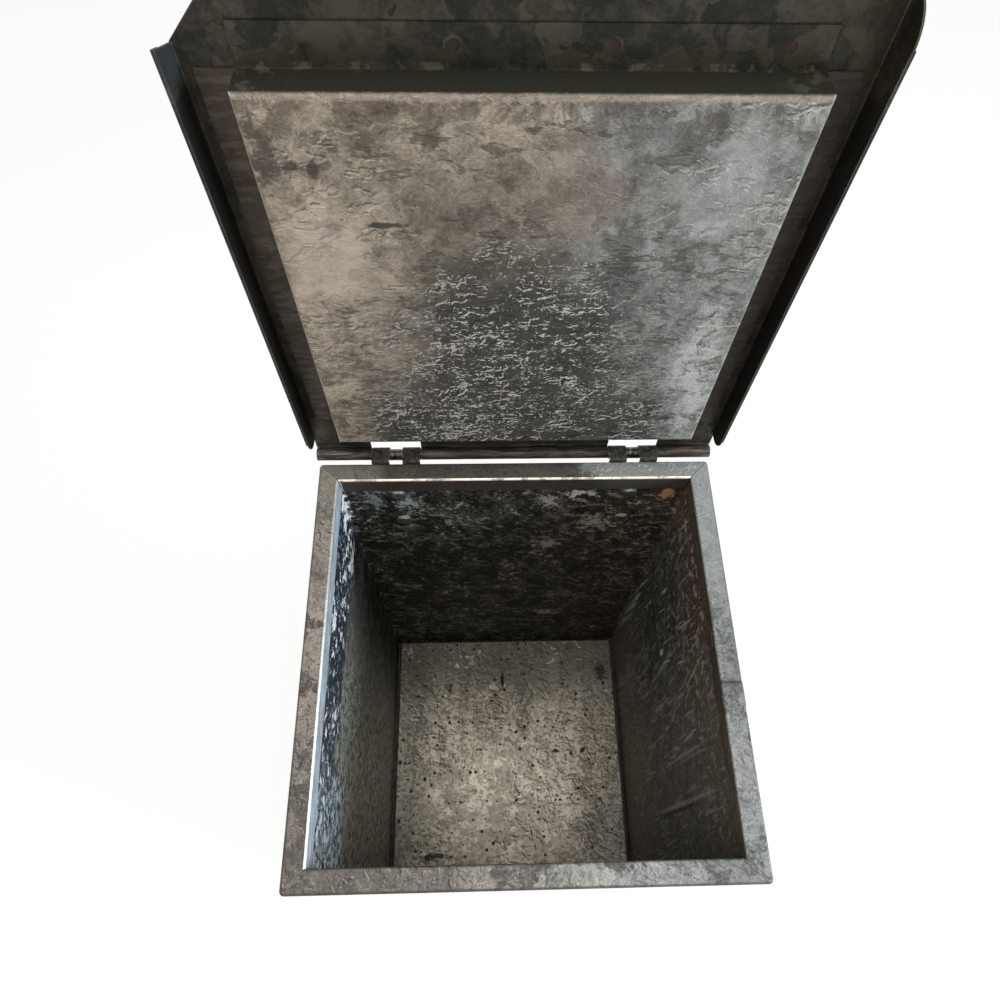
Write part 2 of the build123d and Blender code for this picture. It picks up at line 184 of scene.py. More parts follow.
feather = add(spangle, "VectorRotate", own_way, rotation_type="EULER_XYZ").outputs[0]
fronds = noise(spangle, stretch(spangle, feather, (1.2, 7.0, 7.0)), 1.0, 5.0, 0.65)
give(
    spangle,
    made,
    Tone=add(spangle, "SeparateColor", {0: crystal}).outputs[0],
    Frost=ramp(spangle, fronds, 0.3, 0.7),
    Border=ramp(spangle, border, 0.0, 0.07, 1.0, 0.0),
)


def crystals(tree, place, size, ragged, seed=0.0):
    """The Tone, the Frost and the Border of crystals about as large as the size, in metres."""
    return use(tree, spangle, {"Vector": place, "Size": size, "Ragged": ragged, "Seed": seed})


# Bare metal where a fold or a cut edge has been rubbed.
fold_wear, given, made = new_group("fold_wear", {"Radius": 0.001, "Vector": origin}, ("Mask",))
rounded = add(fold_wear, "Bevel", {"Radius": given["Radius"]}, samples=6).outputs[0]
flat = fold_wear.nodes.new("ShaderNodeNewGeometry").outputs["True Normal"]
agree = add(fold_wear, "VectorMath", {0: rounded, 1: flat}, operation="DOT_PRODUCT")
worn = ramp(fold_wear, agree.outputs["Value"], 0.985, 0.86)
patchy = ramp(fold_wear, noise(fold_wear, given["Vector"], 60.0, 4.0), 0.3, 0.55, 0.25)
give(fold_wear, made, Mask=product(fold_wear, worn, patchy))


def rub(tree, place, radius):
    return use(tree, fold_wear, {"Radius": radius, "Vector": place})["Mask"]


# Short worm marks in loose bunches: broken pieces of a noise's contour lines.
worms, given, made = new_group(
    "worm_marks", {"Vector": origin, "Scale": 90.0, "Width": 0.02, "Amount": 0.5}, ("Mask",)
)
level = noise(worms, given["Vector"], given["Scale"], 3.0, 0.6, 0.2)
off_level = calculate(worms, "ABSOLUTE", calculate(worms, "SUBTRACT", level, 0.5))
thin = ramp(worms, calculate(worms, "DIVIDE", off_level, given["Width"]), 1.0, 0.35)
aside = move(worms, given["Vector"], (3.1, 5.7, 9.2))
broken = noise(worms, aside, product(worms, given["Scale"], 1.15), 2.0)
bunched = noise(worms, aside, product(worms, given["Scale"], 0.22), 2.0)
gate = weigh(worms, (broken, 1.0), (bunched, 0.8), (given["Amount"], 0.4))
give(worms, made, Mask=product(worms, thin, ramp(worms, gate, 1.17, 1.23)))


def worm(tree, vector, scale, width, amount):
    values = {"Vector": vector, "Scale": scale, "Width": width, "Amount": amount}
    return use(tree, worms, values)["Mask"]


# Leafy flakes in relief: a painted highlight on one side of each, as a pale edge, and a painted
# shade on the other, as a dark edge.
leaf_relief, given, made = new_group(
    "leaf_relief",
    {"Vector": origin, "Shift": (0.001, 0.001, 0.0), "Scale": 100.0, "Cover": 0.5},
    ("Pale", "Dark", "Flake"),
)
beside = move(leaf_relief, given["Vector"], given["Shift"])
flake_at = product(leaf_relief, given["Cover"], 0.4)
flake_at = calculate(leaf_relief, "SUBTRACT", 0.70, flake_at)
flakes = []
for where in (given["Vector"], beside):
    level = noise(leaf_relief, where, given["Scale"], 4.0, 0.6, 0.5)
    level = calculate(leaf_relief, "SUBTRACT", level, flake_at)
    flakes.append(ramp(leaf_relief, level, -0.008, 0.008))
bunched = noise(leaf_relief, given["Vector"], product(leaf_relief, given["Scale"], 0.3), 3.0)
bunched = ramp(leaf_relief, bunched, 0.44, 0.56)
pale_edge = calculate(leaf_relief, "SUBTRACT", flakes[0], flakes[1], clamp=True)
dark_edge = calculate(leaf_relief, "SUBTRACT", flakes[1], flakes[0], clamp=True)
give(
    leaf_relief,
    made,
    Pale=product(leaf_relief, pale_edge, bunched),
    Dark=product(leaf_relief, dark_edge, bunched),
    Flake=flakes[0],
)


def relief(tree, vector, shift, scale, cover):
    """The Pale edges and the Dark edges of leafy flakes, painted highlight and painted shade, and
    the whole Flake.
    """
    values = {"Vector": vector, "Shift": shift, "Scale": scale, "Cover": cover}
    return use(tree, leaf_relief, values)


shell_zinc, tree, shader, place = new_material("shell_zinc")
x, y, z = add(tree, "SeparateXYZ", {0: place}).outputs
to_side = calculate(tree, "ABSOLUTE", x)
to_end = calculate(tree, "ABSOLUTE", y)
out_by = calculate(tree, "MAXIMUM", to_side, to_end)
large = crystals(tree, place, 0.020, 0.55)
small = crystals(tree, place, 0.009, 0.7, 7.0)
grain = grit(tree, place, 560.0, 3.0, 0.7)
tone = weigh(
    tree,
    (large["Tone"], 0.30),
    (small["Tone"], 0.16),
    (large["Frost"], 0.26),
    (grain, 0.12),
    (small["Frost"], 0.16),
)
pale = ramp(tree, tone, 0.24, 0.76)
# Browner on the left and cooler on the right: partly the zinc's own tone, partly painted
# reflection.
warm = tint(tree, pale, (0.036, 0.030, 0.024, 1), (0.215, 0.190, 0.163, 1))
cool = tint(tree, pale, (0.046, 0.049, 0.047, 1), (0.190, 0.200, 0.194, 1))
blotch = calculate(tree, "SUBTRACT", noise(tree, place, 11.0, 4.0), 0.5)
across = weigh(tree, (x, 1.0), (blotch, 0.25))
colour = tint(tree, ramp(tree, across, -0.07, 0.08), warm, cool)

# The rim's four sides part at the mitres. Each has its own stains, which fade down the wall.
mitre = 0.0002
behind = ramp(tree, calculate(tree, "SUBTRACT", y, to_side), -mitre, mitre)
ahead = ramp(tree, weigh(tree, (y, -1.0), (to_side, -1.0)), -mitre, mitre)
on_rim = ramp(tree, z, 0.350, 0.3525)
near_rim = ramp(tree, z, 0.20, 0.345, 0.25, 1.0)
back_left = product(tree, behind, ramp(tree, x, 0.03, 0.07, 1.0, 0.0))
back_right = product(tree, ramp(tree, across, 0.05, 0.09), ramp(tree, y, -0.02, 0.12))
left_to_back = product(tree, ramp(tree, across, -0.06, -0.09), ramp(tree, y, 0.0, 0.12))
left_to_front = product(tree, ramp(tree, y, 0.03, -0.10), ramp(tree, across, 0.02, -0.06))
front = product(tree, ahead, ramp(tree, across, 0.05, -0.06, 0.25, 1.0))
stains = (
    (behind, 0.68, (0.026, 0.022, 0.018)),
    (back_left, 0.35, (0.036, 0.029, 0.022)),
    (front, 0.45, (0.060, 0.055, 0.048)),
    (left_to_front, 0.65, (0.062, 0.054, 0.046)),
    (left_to_back, 0.35, (0.26, 0.235, 0.20)),
    (back_right, 0.55, (0.34, 0.36, 0.35)),
)
chased = relief(tree, place, (0.0006, 0.0006, 0.0), 130.0, 0.46)
loops = worm(tree, place, 95.0, 0.022, 1.3)
loops = product(tree, loops, behind, ramp(tree, x, 0.035, 0.06), on_rim)
rubbed = rub(tree, place, 0.0012)
# A painted shade along the rim's outer fold.
outer_fold = (0.1253, 0.1262)
outer_fold_shade = calculate(tree, "MAXIMUM", to_side, weigh(tree, (y, -1.0)))
outer_fold_shade = ramp(tree, outer_fold_shade, *outer_fold)

# The lap seam crosses the right rim: a dark line, with a paler strip behind and painted shade
# before it.
broken = ramp(tree, noise(tree, place, 90.0, 4.0), 0.40, 0.52, 0.35, 1.0)
lapped = product(tree, ramp(tree, x, 0.1140, 0.1145), on_rim)
lap_line = product(tree, lapped, band(tree, y, -0.0220, -0.0205, 0.0002))
lap_edge = product(tree, lapped, band(tree, y, -0.0202, -0.0170, 0.0008), broken)
lap_shade = product(tree, lapped, band(tree, y, -0.0270, -0.0222, 0.0012), broken)

# The lip is turned down inside the mouth: cool and bright on the left with painted window light,
# rust brown darkened by painted shade on the right, dark at the back. The fold above it carries a
# painted highlight at the back and on the left.
lip_faces = (0.1130, 0.1151)
inside_lip = (0.1147, 0.1143)
lip_high = product(
    tree, band(tree, z, 0.338, 0.3524, 0.0004), ramp(tree, out_by, 0.1160, 0.1154)
)
lip = product(tree, band(tree, to_side, *lip_faces, 0.0001), lip_high)
lip_left = product(tree, lip, ramp(tree, x, -0.1, -0.09, 1.0, 0.0))
lip_right = product(tree, lip, ramp(tree, x, 0.09, 0.1))
lip_back = product(tree, band(tree, y, *lip_faces, 0.0001), lip_high)
brushed = grit(tree, stretch(tree, place, (1.0, 0.15, 1.0)), 480.0, 4.0, 0.65)
back_fold_highlight = product(
    tree,
    band(tree, y, 0.1139, 0.1152, 0.0004),
    ramp(tree, z, 0.3520, 0.3529),
    ramp(tree, to_side, *inside_lip),
)
left_fold_highlight = product(
    tree,
    band(tree, x, -0.1156, -0.1143, 0.0003),
    ramp(tree, z, 0.3522, 0.3530),
    ramp(tree, to_end, *inside_lip),
)
# Painted shade on the shell low down in the gap round the floor tray.
under_tray_shade = product(tree, ramp(tree, z, 0.020, 0.015), ramp(tree, out_by, 0.1160, 0.1155))
colour = lay(
    tree,
    colour,
    *((near_rim, *stain) for stain in stains),
    (chased["Dark"], ramp(tree, across, 0.06, -0.04, 0.5), 0.8, (0.022, 0.018, 0.014)),
    (chased["Pale"], ramp(tree, y, 0.12, 0.11), 0.22, (0.42, 0.41, 0.38)),
    (loops, 0.7, (0.42, 0.42, 0.40)),
    (rubbed, 0.3, (0.42, 0.39, 0.35)),
    (outer_fold_shade, on_rim, 0.45, (0.060, 0.050, 0.040)),
    (lap_shade, 0.40, (0.085, 0.088, 0.085)),
    (lap_edge, 0.15, (0.36, 0.37, 0.35)),
    (lap_line, 0.80, (0.030, 0.029, 0.026)),
    (under_tray_shade, 0.95, (0.004, 0.004, 0.003)),
    (lip_back, 0.85, (0.040, 0.033, 0.025)),
    # Painted window light on the left lip, painted shade on the rusty right lip, painted highlights
    # on the folds.
    (lip_left, 0.9, (0.64, 0.71, 0.76)),
    (lip_left, brushed, 0.55, (0.10, 0.13, 0.15)),
    (lip_right, 0.85, (0.050, 0.034, 0.024)),
    (lip_right, ramp(tree, brushed, 0.55, 1.0), 0.6, (0.20, 0.16, 0.13)),
    (back_fold_highlight, broken, 1.0, (0.95, 0.80, 0.67)),
    (left_fold_highlight, ramp(tree, y, 0.08, -0.08, 0.35, 1.0), 0.95, (0.74, 0.78, 0.82)),
)
waves = noise(tree, place, 28.0, 2.0)
height = weigh(tree, (waves, 1.0), (chased["Flake"], 0.08), (grain, 0.04), (loops, 0.2))
finish(tree, shader, colour, polish(tree, tone, 0.60, 0.42), height, 0.0018, metal=0.4)
dress(shell_zinc, "outer_shell", "base_pan")

# ---------------------------------------------------------------- liner walls
# One wrap of thinner galvanized sheet, folded at the corners and lapped near the back right. It
# is dull and nearly black, scratched by bottles and their carriers, and rusty under the lip.


def length(tree, vector):
    return add(tree, "VectorMath", {0: vector}, operation="LENGTH").outputs["Value"]


# A ragged patch: a rust bloom, a smudge or a scuffed place, at its centre and as wide as its reach.
patch, given, made = new_group(
    "ragged_patch",
    {
        "Vector": origin,
        "Centre": origin,
        "Reach": (0.01, 0.01, 0.01),
        "Ragged": 0.8,
        "Grain": 90.0,
    },
    ("Mask",),
)
away = move(patch, given["Vector"], given["Centre"], "SUBTRACT")
distance = length(patch, move(patch, away, given["Reach"], "DIVIDE"))
crumbs = noise(patch, given["Vector"], given["Grain"], 6.0, 0.7)
edge = product(patch, calculate(patch, "SUBTRACT", crumbs, 0.5), given["Ragged"], 4.0)
give(patch, made, Mask=ramp(patch, calculate(patch, "ADD", distance, edge), 1.15, 0.55))


def spot(tree, place, centre, reach, ragged, grain):
    values = {"Vector": place, "Centre": centre, "Reach": reach, "Ragged": ragged, "Grain": grain}
    return use(tree, patch, values)["Mask"]


def marks(tree, place, axis, face, deep, rows):
    """A coat for each row: one ragged patch on the face that lies across the axis.

    A row holds the patch's place and its reach along the other two axes, how ragged and how fine
    its edge is, its strength and its colour. Along the axis itself its reach is deep.
    """
    for first, second, wide, high, ragged, grain, strength, coat in rows:
        centre, reach = [first, second], [wide, high]
        centre.insert("xyz".index(axis), face)
        reach.insert("xyz".index(axis), deep)
        yield spot(tree, place, centre, reach, ragged, grain), strength, coat


# Fine hair scratches, drawn out along the long axis of the stretched coordinates it is given.
hairs, given, made = new_group(
    "hair_scratches", {"Vector": origin, "Scale": 400.0, "Amount": 0.4}, ("Mask",)
)
strands = noise(hairs, given["Vector"], given["Scale"], 3.0, 0.6)
clusters = noise(hairs, given["Vector"], product(hairs, given["Scale"], 0.13), 3.0)
thick = calculate(hairs, "ADD", product(hairs, clusters, 0.55), strands)
hair_at = calculate(hairs, "SUBTRACT", 0.98, product(hairs, given["Amount"], 0.3))
give(hairs, made, Mask=ramp(hairs, calculate(hairs, "SUBTRACT", thick, hair_at), 0.0, 0.07))


def scratches(tree, vector, scale, amount):
    return use(tree, hairs, {"Vector": vector, "Scale": scale, "Amount": amount})["Mask"]


# Small dark pits, of random size, in loose clusters.
pits, given, made = new_group(
    "pits", {"Vector": origin, "Spacing": 0.006, "Amount": 0.5}, ("Mask",)
)
cells = enlarge(pits, given["Vector"], calculate(pits, "DIVIDE", 1.0, given["Spacing"]))
jitter = add(pits, "TexNoise", {"Vector": cells, "Scale": 3.0, "Detail": 3.0}).outputs[1]
cells = move(pits, cells, enlarge(pits, jitter, 0.5))
cell = add(pits, "TexVoronoi", {"Vector": cells, "Scale": 1.0}).outputs
lot = add(pits, "SeparateColor", {0: cell["Color"]}).outputs[1]
size = calculate(pits, "SUBTRACT", calculate(pits, "ADD", lot, given["Amount"]), 1.0)
size = calculate(pits, "MULTIPLY", size, 0.75, clamp=True)
nearness = calculate(pits, "SUBTRACT", size, cell["Distance"])
give(pits, made, Mask=ramp(pits, nearness, -0.02, 0.04))


def pitting(tree, place, spacing, amount):
    return use(tree, pits, {"Vector": place, "Spacing": spacing, "Amount": amount})["Mask"]


liner_zinc, tree, shader, place = new_material("liner_zinc")
x, y, z = add(tree, "SeparateXYZ", {0: place}).outputs
wall_from, wall_to, wall_face = 0.1120, 0.1125, 0.115
left = ramp(tree, x, -wall_from, -wall_to)
right = ramp(tree, x, wall_from, wall_to)
behind = ramp(tree, y, wall_from, wall_to)
smear = grit(tree, place, 48.0, 6.0, 0.72)
grain = grit(tree, place, 420.0, 4.0, 0.7)
plates = crystals(tree, place, 0.012, 0.95, 3.0)
tone = weigh(tree, (plates["Tone"], 0.30), (smear, 0.30), (grain, 0.40))
black, dull = (0.006, 0.007, 0.005, 1), (0.100, 0.095, 0.072, 1)
colour = tint(tree, ramp(tree, tone, 0.35, 0.9), black, dull)

# Rubbed and crumbled places that all three walls share, each stretched along its own way.
tilt = (radians(-12.0), 0.0, 0.0)
rubs = grit(tree, stretch(tree, place, (1.0, 0.8, 0.8)), 200.0, 4.0, 0.7, 0.3)
dashes = grit(tree, stretch(tree, place, (1.0, 0.8, 0.7), tilt), 175.0, 2.5, 0.6)
crumbs = grit(tree, place, 260.0, 4.0, 0.7)
streaky = stretch(tree, place, (1.0, 1.6, 0.8))
streaks = relief(tree, streaky, (0.0, 0.0, 0.0040), 110.0, 0.46)
holes = pitting(tree, place, 0.006, 0.45)

# Left wall: painted light of the low window makes it pale and cool, palest at the front, where it
# is scuffed and carries painted glints; a dark band lies under the lip.
middle = product(tree, left, ramp(tree, y, 0.10, -0.03))
up_band = product(tree, left, ramp(tree, weigh(tree, (z, 1.0), (smear, 0.025)), 0.292, 0.312))
front_block = product(
    tree,
    left,
    ramp(tree, weigh(tree, (y, 1.0), (smear, 0.03)), -0.040, -0.070),
    ramp(tree, weigh(tree, (z, 1.0), (smear, 0.02)), 0.262, 0.282),
)
thin_dashes = scratches(tree, stretch(tree, place, (1.0, 0.5, 0.5), tilt), 300.0, 0.48)
colour = lay(
    tree,
    colour,
    (holes, 0.7, (0.005, 0.005, 0.004)),
    (middle, 0.85, (0.400, 0.402, 0.345)),
    (middle, streaks["Pale"], 0.85, (0.74, 0.73, 0.66)),
    (middle, streaks["Dark"], 0.85, (0.010, 0.011, 0.009)),
    (middle, ramp(tree, rubs, 0.60, 1.0), 0.5, (0.40, 0.39, 0.34)),
    (middle, ramp(tree, rubs, 0.45, 0.15), 0.85, (0.060, 0.064, 0.053)),
    (up_band, 0.92, (0.016, 0.024, 0.032)),
    (up_band, streaks["Pale"], 0.6, (0.22, 0.28, 0.34)),
    (up_band, ramp(tree, dashes, 0.94, 1.0), 0.6, (0.28, 0.36, 0.46)),
    (up_band, thin_dashes, 0.95, (1.0, 1.0, 1.0)),
    (front_block, ramp(tree, dashes, 0.25, 0.5), 0.8, (0.26, 0.33, 0.42)),
    (front_block, ramp(tree, rubs, 0.45, 0.70), 0.9, (0.90, 0.97, 1.0)),
    (front_block, streaks["Dark"], 0.8, (0.02, 0.03, 0.04)),
)

# Right wall: hair scratches that run three ways, rust under the lip and dust towards the floor.
drawn = scratches(tree, stretch(tree, place, (1.0, 1.0, 0.10)), 420.0, 0.25)
slanted = stretch(tree, place, (1.0, 1.0, 0.09), (radians(7.0), 0.0, 0.0))
crossed = scratches(tree, slanted, 420.0, 0.28)
steep = stretch(tree, place, (1.0, 1.0, 0.06), (radians(-9.0), 0.0, 0.0))
slashes = scratches(tree, steep, 330.0, 0.42)
rusty = product(
    tree, right, ramp(tree, z, 0.275, 0.33), ramp(tree, y, -0.06, 0.03, 0.35, 1.0)
)
upper = ramp(tree, z, 0.16, 0.26)
lower = ramp(tree, z, 0.17, 0.06)
colour = lay(
    tree,
    colour,
    (right, 0.35, (0.120, 0.116, 0.100)),
    (right, streaks["Pale"], 0.5, (0.30, 0.29, 0.26)),
    (right, ramp(tree, y, 0.04, -0.03), 0.45, (0.125, 0.120, 0.102)),
    (right, drawn, 0.6, (0.48, 0.48, 0.46)),
    (right, crossed, 0.5, (0.46, 0.47, 0.45)),
    (right, slashes, ramp(tree, y, -0.02, 0.02), 0.75, (0.58, 0.60, 0.59)),
    (rusty, ramp(tree, rubs, 0.3, 0.8), 0.8, (0.130, 0.070, 0.040)),
    (rusty, ramp(tree, dashes, 0.80, 0.95), 0.8, (0.46, 0.32, 0.24)),
    (right, ramp(tree, dashes, 0.94, 1.0), upper, 0.4, (0.34, 0.35, 0.33)),
    (right, lower, 0.5, (0.16, 0.145, 0.12)),
    (right, lower, ramp(tree, crumbs, 0.6, 0.9), 0.6, (0.42, 0.39, 0.33)),
)

# Back wall: leaves and chips of zinc in a black film, drips below, bare flakes and rust above.
drawn_out = stretch(tree, place, (0.75, 1.0, 1.0))
leaves = relief(tree, drawn_out, (0.0006, 0.0, 0.0026), 75.0, 0.40)
chips = relief(tree, drawn_out, (0.0010, 0.0, 0.0030), 190.0, 0.27)
drips = grit(tree, stretch(tree, place, (1.0, 1.0, 0.08)), 330.0, 3.0, 0.6)
drips = product(
    tree,
    ramp(tree, drips, 0.7, 1.0),
    band(tree, x, -0.01, 0.09, 0.03),
    ramp(tree, z, 0.20, 0.12),
)
bare_crumbs = ramp(tree, crumbs, 0.90, 0.96)
# Where they are in x and z, how far they reach, how ragged and fine, how strong, and what colour.
back_flakes = (
    (-0.072, 0.321, 0.006, 0.007, 2.4, 230.0, 0.95, (0.40, 0.43, 0.43)),
    (-0.095, 0.325, 0.005, 0.009, 2.4, 230.0, 0.80, (0.30, 0.33, 0.35)),
    (0.043, 0.332, 0.010, 0.0045, 2.2, 230.0, 0.95, (0.55, 0.51, 0.45)),
    (0.024, 0.322, 0.006, 0.009, 2.4, 230.0, 0.85, (0.42, 0.39, 0.34)),
    (0.060, 0.290, 0.008, 0.008, 2.6, 230.0, 0.85, (0.42, 0.40, 0.35)),
    (0.029, 0.252, 0.0085, 0.005, 1.8, 230.0, 0.90, (0.42, 0.40, 0.35)),
    (0.033, 0.097, 0.010, 0.005, 2.0, 230.0, 0.85, (0.38, 0.37, 0.33)),
    (0.104, 0.332, 0.012, 0.014, 1.2, 200.0, 0.60, (0.10, 0.045, 0.024)),
    (0.104, 0.332, 0.0052, 0.0095, 0.8, 260.0, 0.95, (0.60, 0.32, 0.19)),
)
# The same for the right wall, in y and z: a crease, a chip, and long scratches with their shade.
right_scars = (
    (0.072, 0.208, 0.042, 0.0022, 0.15, 90.0, 0.90, (0.008, 0.008, 0.007)),
    (0.036, 0.220, 0.0032, 0.0060, 0.5, 200.0, 0.95, (0.66, 0.66, 0.63)),
    (-0.076, 0.230, 0.0017, 0.095, 0.5, 260.0, 0.65, (0.40, 0.40, 0.37)),
    (-0.0795, 0.215, 0.0012, 0.070, 0.4, 260.0, 0.85, (0.004, 0.004, 0.003)),
    (-0.046, 0.250, 0.0015, 0.052, 0.5, 260.0, 0.60, (0.40, 0.40, 0.37)),
    (-0.0495, 0.262, 0.0011, 0.036, 0.5, 260.0, 0.45, (0.36, 0.36, 0.33)),
    (-0.047, 0.180, 0.010, 0.012, 0.9, 200.0, 0.50, (0.24, 0.23, 0.20)),
)
colour = lay(
    tree,
    colour,
    (behind, ramp(tree, x, 0.02, 0.10), 0.35, (0.07, 0.048, 0.030)),
    (behind, ramp(tree, z, 0.34, 0.16), 0.3, (0.02, 0.02, 0.014)),
    (behind, leaves["Dark"], 0.8, (0.004, 0.004, 0.003)),
    (behind, leaves["Pale"], 0.7, (0.26, 0.25, 0.20)),
    (behind, chips["Flake"], smear, 0.9, (0.40, 0.38, 0.32)),
    (behind, drips, smear, 0.45, (0.155, 0.135, 0.080)),
    (behind, bare_crumbs, ramp(tree, smear, 0.5, 0.9), 0.8, (0.48, 0.46, 0.41)),
    *marks(tree, place, "y", wall_face, 0.02, back_flakes),
    *marks(tree, place, "x", wall_face, 0.01, right_scars),
)
shader.inputs["Specular IOR Level"].default_value = 0.25
waves = noise(tree, place, 24.0, 3.0)
height = weigh(
    tree, (waves, 1.0), (grain, 0.15), (leaves["Flake"], 0.2), (plates["Tone"], 0.25)
)
finish(tree, shader, colour, polish(tree, tone, 0.58, 0.40), height, 0.0020, metal=0.3)
dress(liner_zinc, "liner_wrap")

# ---------------------------------------------------------------- liner floor
# A shallow tray with turned-down edges, which lies loose on its board, clear of the walls. Its
# zinc is worn pale in the middle by the bottles, pitted, dented, and darker at the back and sides.
floor_zinc, tree, shader, place = new_material("floor_zinc")
x, y, _ = add(tree, "SeparateXYZ", {0: place}).outputs
out_by = calculate(
    tree, "MAXIMUM", calculate(tree, "ABSOLUTE", x), calculate(tree, "ABSOLUTE", y)
)
fine = crystals(tree, place, 0.0075, 1.3, 5.0)
plates = crystals(tree, place, 0.017, 1.0, 23.0)
grain = grit(tree, place, 330.0, 3.0, 0.7)
smear = grit(tree, place, 95.0, 6.0, 0.75, 0.5)
combed = grit(tree, stretch(tree, place, (1.0, 0.15, 1.0)), 70.0, 3.0, 0.6)
clouds = noise(tree, place, 18.0, 4.0, 0.6)
tone = weigh(
    tree,
    (fine["Tone"], 0.14),
    (plates["Tone"], 0.10),
    (grain, 0.40),
    (smear, 0.16),
    (combed, 0.20),
)
grey, worn = (0.200, 0.178, 0.140, 1), (0.66, 0.60, 0.495, 1)
colour = tint(tree, ramp(tree, tone, 0.20, 0.80), grey, worn)
pitted = pitting(tree, place, 0.0055, 0.45)
specks = pitting(tree, place, 0.0033, 0.36)
curls = relief(tree, place, (0.0010, 0.0012, 0.0), 115.0, 0.47)
leafy = relief(tree, place, (0.0010, 0.0014, 0.0), 48.0, 0.42)
crystal = weigh(tree, (fine["Tone"], 0.7), (plates["Tone"], 0.5))
shards = ramp(tree, crystal, 0.80, 0.83)
few_shards = ramp(tree, crystal, 1.04, 1.06)
tray_face = 0.014
middle = spot(tree, place, (0.000, -0.060, tray_face), (0.075, 0.065, 0.05), 0.30, 40.0)
edge_left = ramp(tree, weigh(tree, (x, 1.0), (clouds, 0.05)), -0.03, -0.09)
edge_back = ramp(tree, weigh(tree, (y, 1.0), (clouds, 0.05)), 0.02, 0.12)
edge_right = ramp(tree, weigh(tree, (x, 1.0), (clouds, 0.05)), 0.07, 0.14)
# Painted shade on the tray's turned-down edge, in the gap by the walls.
brim_shade = ramp(tree, out_by, 0.1100, 0.1108)
# The painted shade on the dark side of the raised flakes.
flake_shade = (0.050, 0.042, 0.032)
# A long dented slot and some holes and dark stains, in x and y.
floor_dents = (
    (-0.0045, 0.0685, 0.0022, 0.0098, 0.15, 200.0, 1.0, (0.006, 0.005, 0.004)),
    (0.075, -0.004, 0.003, 0.003, 0.8, 200.0, 1.0, (0.01, 0.008, 0.006)),
    (0.048, -0.004, 0.004, 0.0025, 0.9, 200.0, 1.0, (0.01, 0.008, 0.006)),
    (-0.075, -0.100, 0.016, 0.003, 1.2, 200.0, 0.9, (0.02, 0.018, 0.014)),
    (0.099, 0.075, 0.006, 0.010, 1.2, 200.0, 0.9, (0.015, 0.012, 0.01)),
)
colour = lay(
    tree,
    colour,
    (edge_left, 0.55, (0.125, 0.132, 0.105)),
    (edge_back, 0.90, (0.066, 0.059, 0.043)),
    (edge_right, 0.35, (0.15, 0.13, 0.10)),
    (middle, 0.45, (0.74, 0.675, 0.56)),
    (few_shards, 0.35, (0.66, 0.60, 0.50)),
    (middle, shards, 0.8, (1.0, 0.92, 0.78)),
    (curls["Pale"], ramp(tree, edge_back, 1.0, 0.2, 0.25, 1.0), 0.5, (0.84, 0.77, 0.65)),
    (curls["Dark"], 0.75, flake_shade),
    (leafy["Pale"], middle, 0.8, (0.95, 0.88, 0.76)),
    (leafy["Dark"], 0.5, flake_shade),
    (specks, 0.8, (0.04, 0.034, 0.026)),
    (brim_shade, 0.9, (0.016, 0.015, 0.012)),
    (pitted, 0.95, (0.012, 0.010, 0.008)),
    *marks(tree, place, "z", tray_face, 0.01, floor_dents),
)
shader.inputs["Specular IOR Level"].default_value = 0.3
height = weigh(
    tree,
    (smear, 0.25),
    (fine["Tone"], 0.5),
    (plates["Tone"], 0.3),
    (grain, 0.25),
    (pitted, -0.5),
    (curls["Flake"], 0.3),
)
finish(tree, shader, colour, polish(tree, tone, 0.66, 0.48), height, 0.0018)
dress(floor_zinc, "liner_floor")

# ---------------------------------------------------------------- insulation
# Boards of pressed fibre, brown and felted, cut to size and shut in between the two walls, under
# the floor tray and in the lid's plug.
fibre_board, tree, shader, place = new_material("fibre_board")
fibres = noise(tree, stretch(tree, place, (1.0, 1.0, 0.3)), 500.0, 5.0, 0.7)
brown, tan = (0.16, 0.10, 0.055, 1), (0.36, 0.26, 0.16, 1)
colour = tint(tree, ramp(tree, fibres, 0.35, 0.65), brown, tan)
rough = ramp(tree, fibres, 0.3, 0.7, 0.95, 0.85)
finish(tree, shader, colour, rough, fibres, 0.0006)
dress(fibre_board, *(name for name in nodes if "insulation" in name))

# ---------------------------------------------------------------- hinge straps
# Two dull sheet straps down the back wall, each with a pair of knuckles rolled in its top end.
# Their edges are rubbed a little brighter.
strap_zinc, tree, shader, place = new_material("strap_zinc")
plates = crystals(tree, place, 0.009, 0.9, 11.0)
film = grit(tree, place, 300.0, 5.0, 0.75)
tone = weigh(tree, (plates["Tone"], 0.4), (film, 0.6))
dark, dull = (0.022, 0.019, 0.015, 1), (0.072, 0.063, 0.050, 1)
colour = tint(tree, ramp(tree, tone, 0.1, 0.95), dark, dull)
rubbed = product(tree, ramp(tree, film, 0.2, 0.6), rub(tree, place, 0.0007))
colour = lay(tree, colour, (rubbed, 0.7, (0.40, 0.38, 0.33)))
finish(tree, shader, colour, polish(tree, tone, 0.6, 0.42), film, 0.0004, metal=0.5)
dress(strap_zinc, "hinge_leaf_left", "hinge_leaf_right")

# ---------------------------------------------------------------- hinge rivets
# Long rivets through the strap and the double wall, one above the other. A painted highlight lies
# on the upper side of each flat head, and a painted shadow under it.
rivet_pitch = 0.0366
lower_rivet = 0.2967
middle = rivet_pitch / 2
rivet_steel, tree, shader, place = new_material("rivet_steel")
z = add(tree, "SeparateXYZ", {0: place}).outputs["Z"]
film = grit(tree, place, 420.0, 4.0, 0.7)
row = calculate(tree, "SUBTRACT", z, lower_rivet - middle)
row = calculate(tree, "MODULO", row, rivet_pitch)
head_highlight = ramp(tree, row, middle + 0.0030, middle + 0.0043)
head_highlight = product(tree, head_highlight, ramp(tree, film, 0.0, 0.5, 0.5, 1.0))
